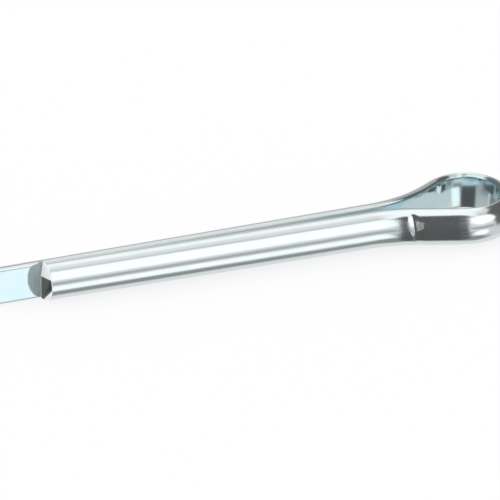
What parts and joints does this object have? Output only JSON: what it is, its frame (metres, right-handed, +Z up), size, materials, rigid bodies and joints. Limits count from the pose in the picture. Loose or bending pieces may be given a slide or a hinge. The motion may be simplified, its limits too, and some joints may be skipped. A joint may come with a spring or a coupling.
{
  "type": "cotter pin",
  "caption": "Split pin bent from half-round steel wire, with a round eye, a long and a short straight leg, and sheared ends.",
  "frame": {"origin": "centre of the bounding box's bottom face, on the surface that the pin lies on", "axes": "+X along the legs towards the eye, +Y from the short leg's side towards the long leg's side, +Z up, square to the plane of the eye"},
  "size_m": [0.0771, 0.015, 0.0056],
  "materials": {
    "zinc_plated_steel": "bright zinc plate"
  },
  "bodies": {
    "root": {"cotter_pin": "zinc_plated_steel"}
  },
  "joints": []
}
